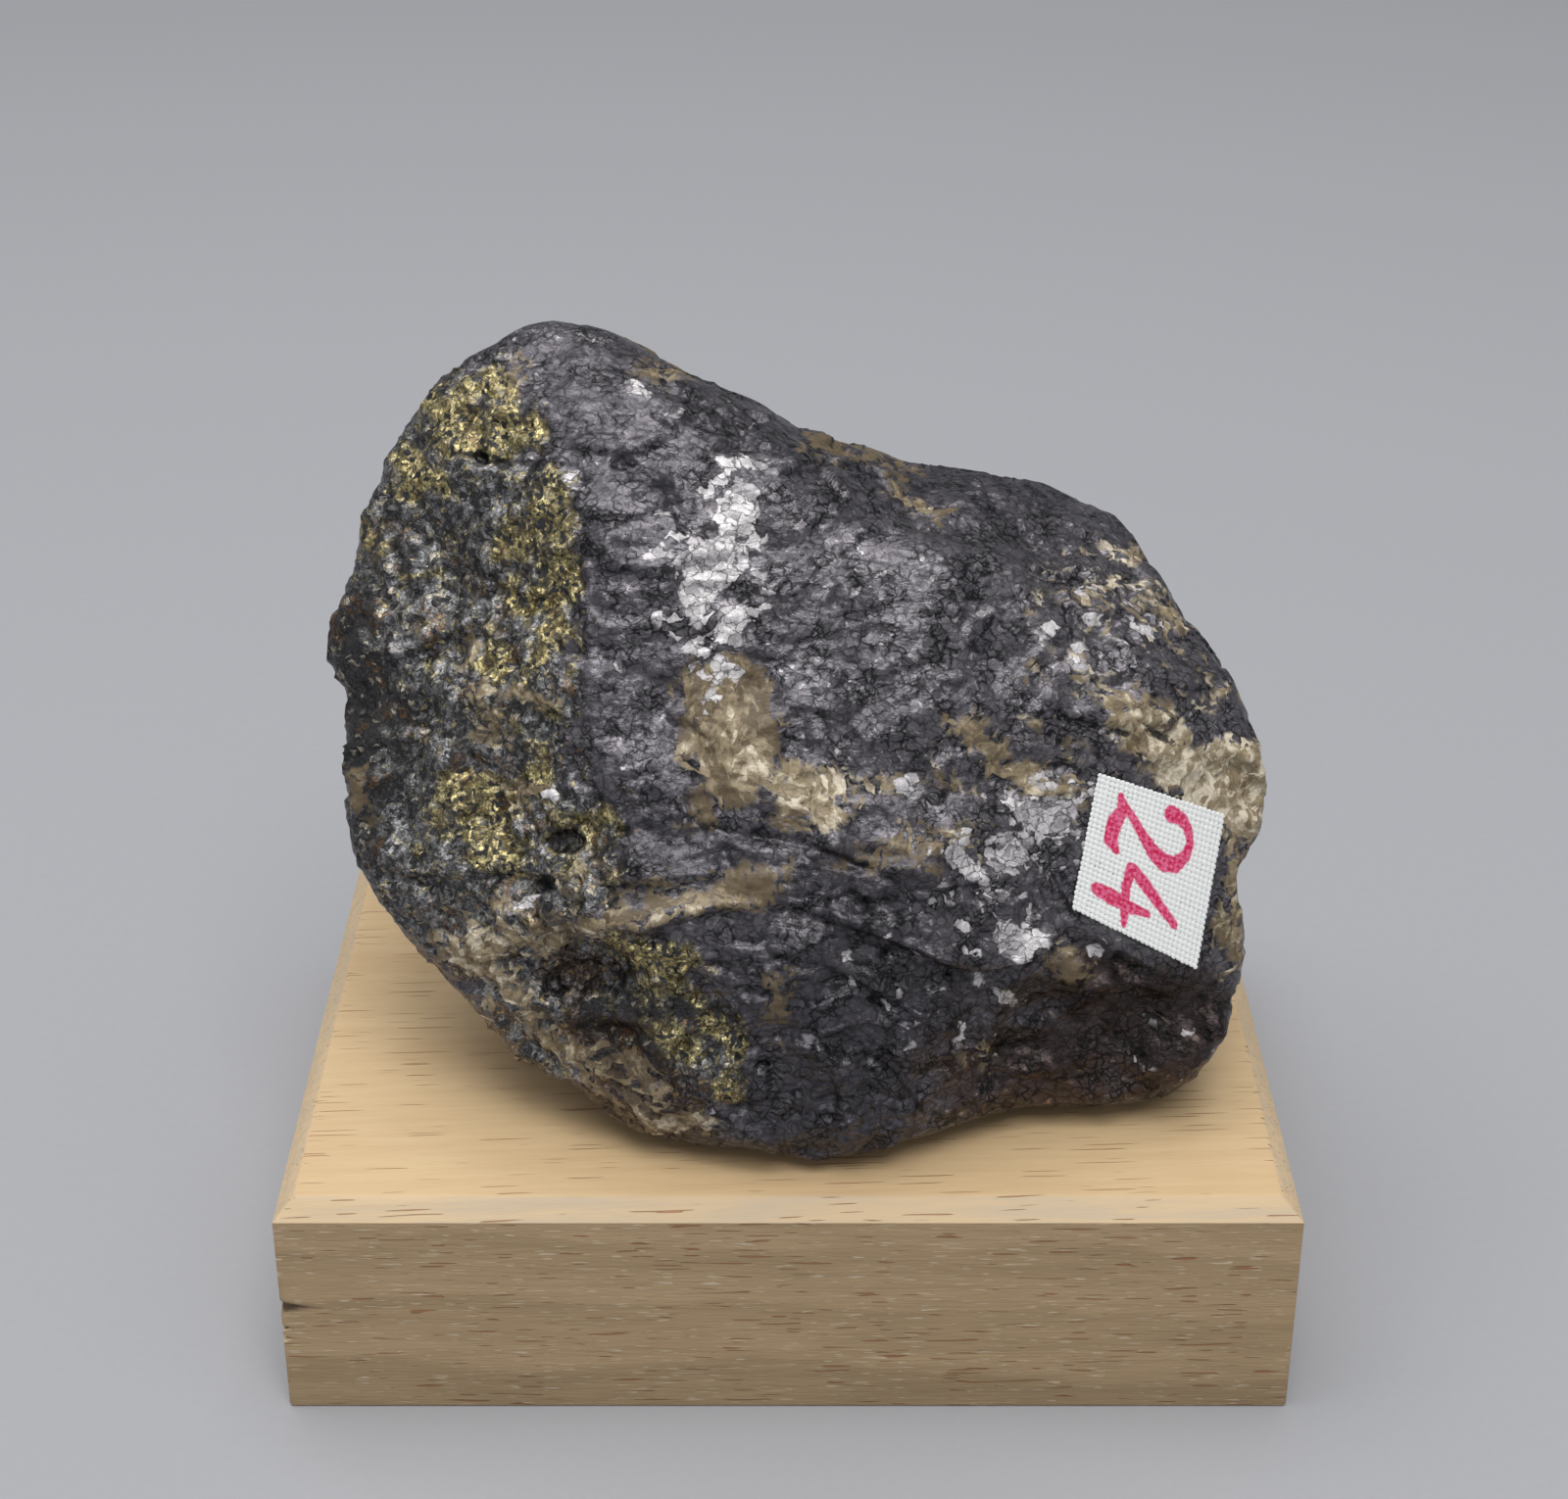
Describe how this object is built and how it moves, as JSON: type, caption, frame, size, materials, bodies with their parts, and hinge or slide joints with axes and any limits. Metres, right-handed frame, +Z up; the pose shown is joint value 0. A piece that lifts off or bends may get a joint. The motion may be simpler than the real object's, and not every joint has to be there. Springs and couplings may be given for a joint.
{
  "type": "ullmannite specimen on stand",
  "caption": "Rough broken lump of metallic sulphide ore leaning back on a chamfered wooden display block, with a small cloth number label stuck to its lower corner.",
  "frame": {"origin": "middle of the stand's underside", "axes": "+Z up, +X along the stand's width to the viewer's right, -Y towards the viewer and the stone's broad labelled face"},
  "size_m": [0.1, 0.08, 0.098],
  "materials": {
    "ullmannite_ore": "broken metallic sulphide ore, dull to glittering",
    "label_cloth": "plain woven white cloth tape, matt",
    "stand_wood": "planed pale wood, unvarnished"
  },
  "bodies": {
    "root": {"ullmannite_stone": "ullmannite_ore", "number_label": "label_cloth", "wooden_stand": "stand_wood"}
  },
  "joints": []
}
